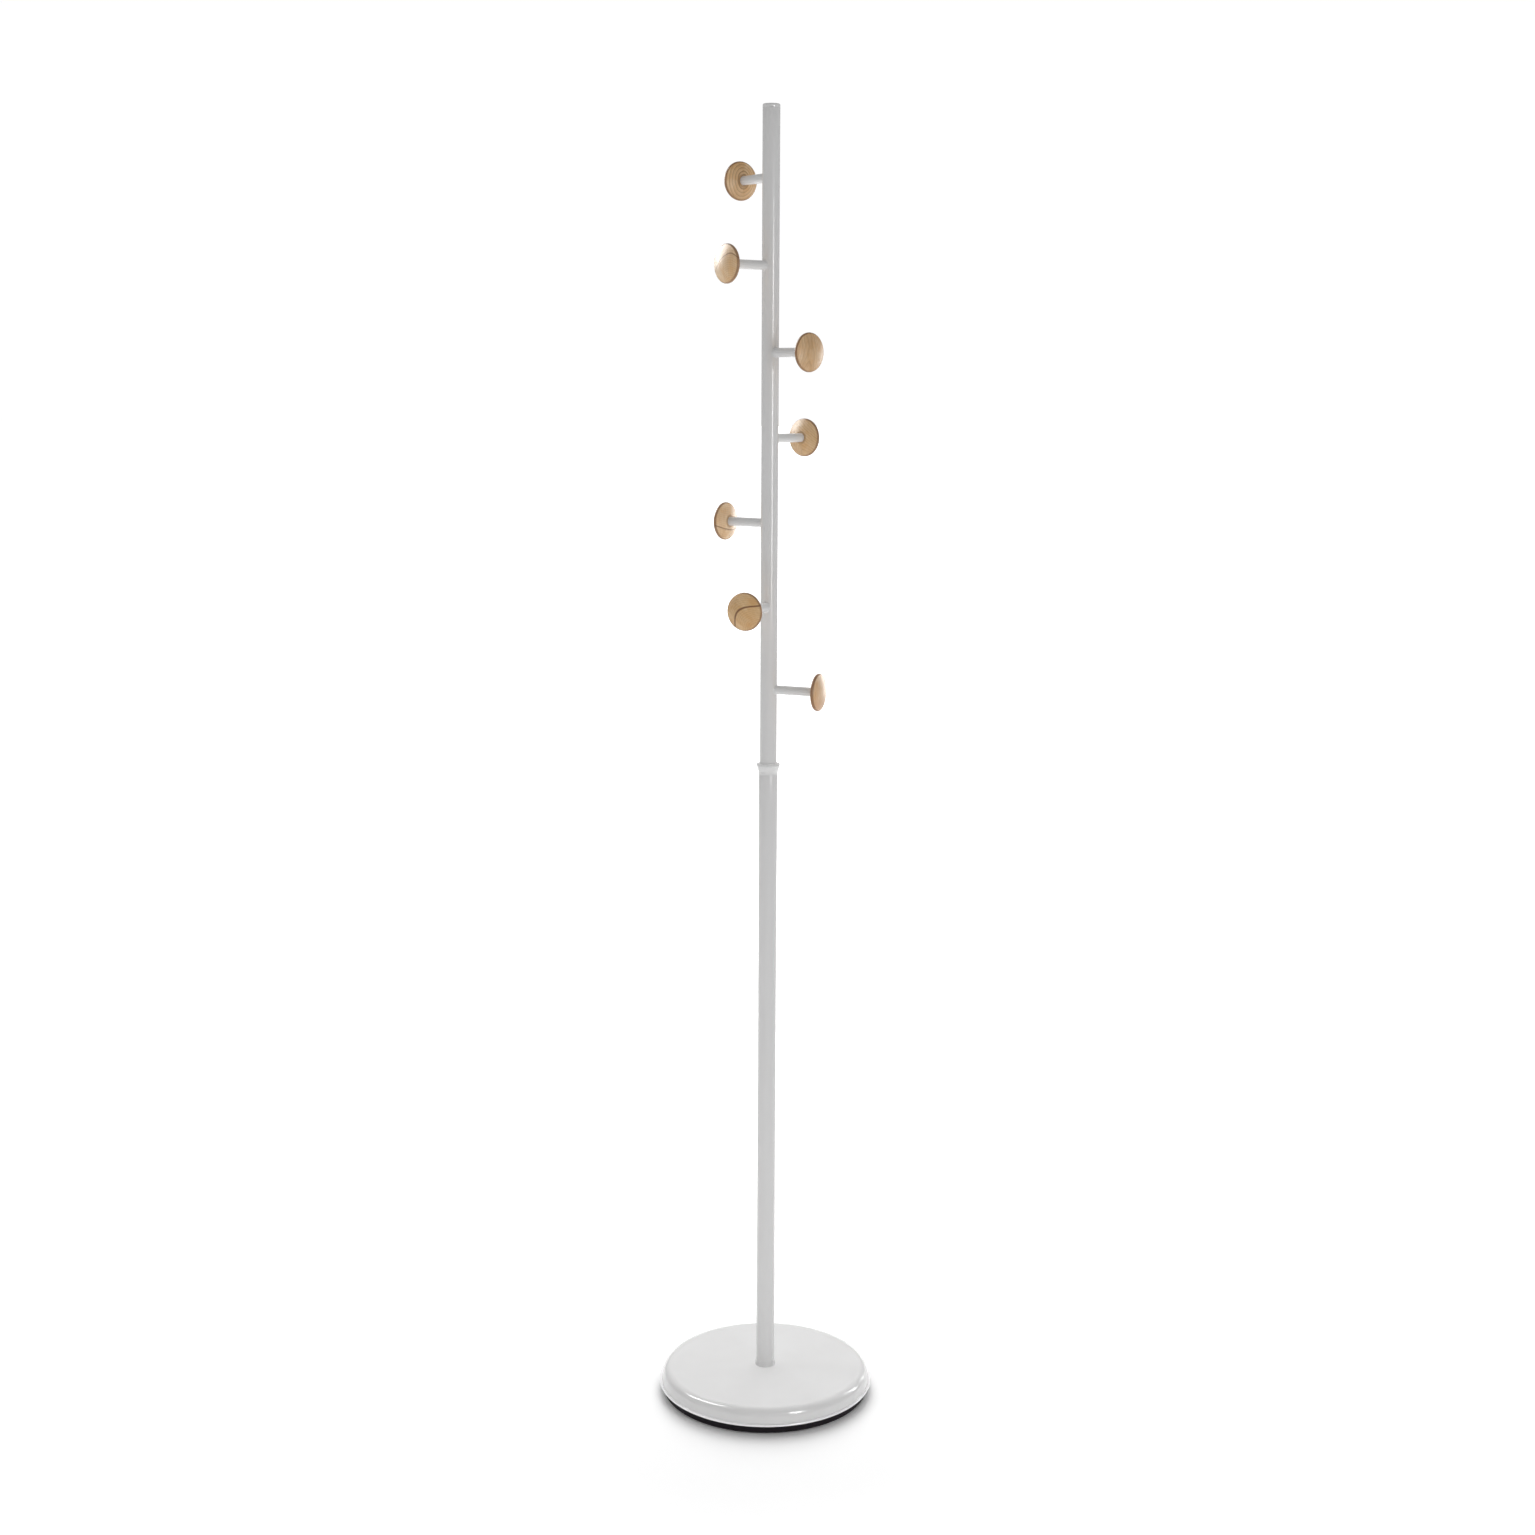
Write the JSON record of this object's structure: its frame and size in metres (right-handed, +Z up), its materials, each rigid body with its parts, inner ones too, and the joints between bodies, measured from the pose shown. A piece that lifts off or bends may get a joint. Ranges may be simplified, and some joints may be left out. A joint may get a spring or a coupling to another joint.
{
  "type": "standing coat rack",
  "caption": "Free-standing coat rack: round weighted base, slim two-piece tubular mast, short pegs spiralling round its upper half with turned wooden knobs.",
  "frame": {"origin": "on the floor at the middle of the round base", "axes": "+Z up along the mast, -Y towards the front, +X to the right seen from the front"},
  "size_m": [0.296, 0.296, 1.742],
  "materials": {
    "white_paint": "gloss powder coat, off-white",
    "white_plastic": "moulded, colour-matched to the paint",
    "black_plastic": "fine moulded texture",
    "rubber": "matt",
    "ballast": "cast cement ballast",
    "zinc_steel": "bright zinc plate",
    "beech": "turned beech, satin lacquer"
  },
  "bodies": {
    "root": {"floor_ring": "rubber", "base_tray": "black_plastic", "base_weight": "ballast", "base_cover": "white_paint", "clamp_bolt": "zinc_steel", "spring_washer": "zinc_steel", "clamp_washer": "zinc_steel", "foot_plug": "zinc_steel", "foot_sleeve": "white_paint", "lower_tube": "white_paint", "lower_insert": "zinc_steel", "joint_stud": "zinc_steel", "upper_insert": "zinc_steel", "joint_collar": "white_plastic", "upper_tube": "white_paint", "top_cap": "white_plastic", "peg_tube_1": "white_paint", "peg_tube_2": "white_paint", "peg_tube_3": "white_paint", "peg_tube_4": "white_paint", "peg_tube_5": "white_paint", "peg_tube_6": "white_paint", "peg_tube_7": "white_paint", "peg_insert_1": "zinc_steel", "peg_insert_2": "zinc_steel", "peg_insert_3": "zinc_steel", "peg_insert_4": "zinc_steel", "peg_insert_5": "zinc_steel", "peg_insert_6": "zinc_steel", "peg_insert_7": "zinc_steel", "knob_stud_1": "zinc_steel", "knob_stud_2": "zinc_steel", "knob_stud_3": "zinc_steel", "knob_stud_4": "zinc_steel", "knob_stud_5": "zinc_steel", "knob_stud_6": "zinc_steel", "knob_stud_7": "zinc_steel", "knob_1": "beech", "knob_2": "beech", "knob_3": "beech", "knob_4": "beech", "knob_5": "beech", "knob_6": "beech", "knob_7": "beech"}
  },
  "joints": []
}
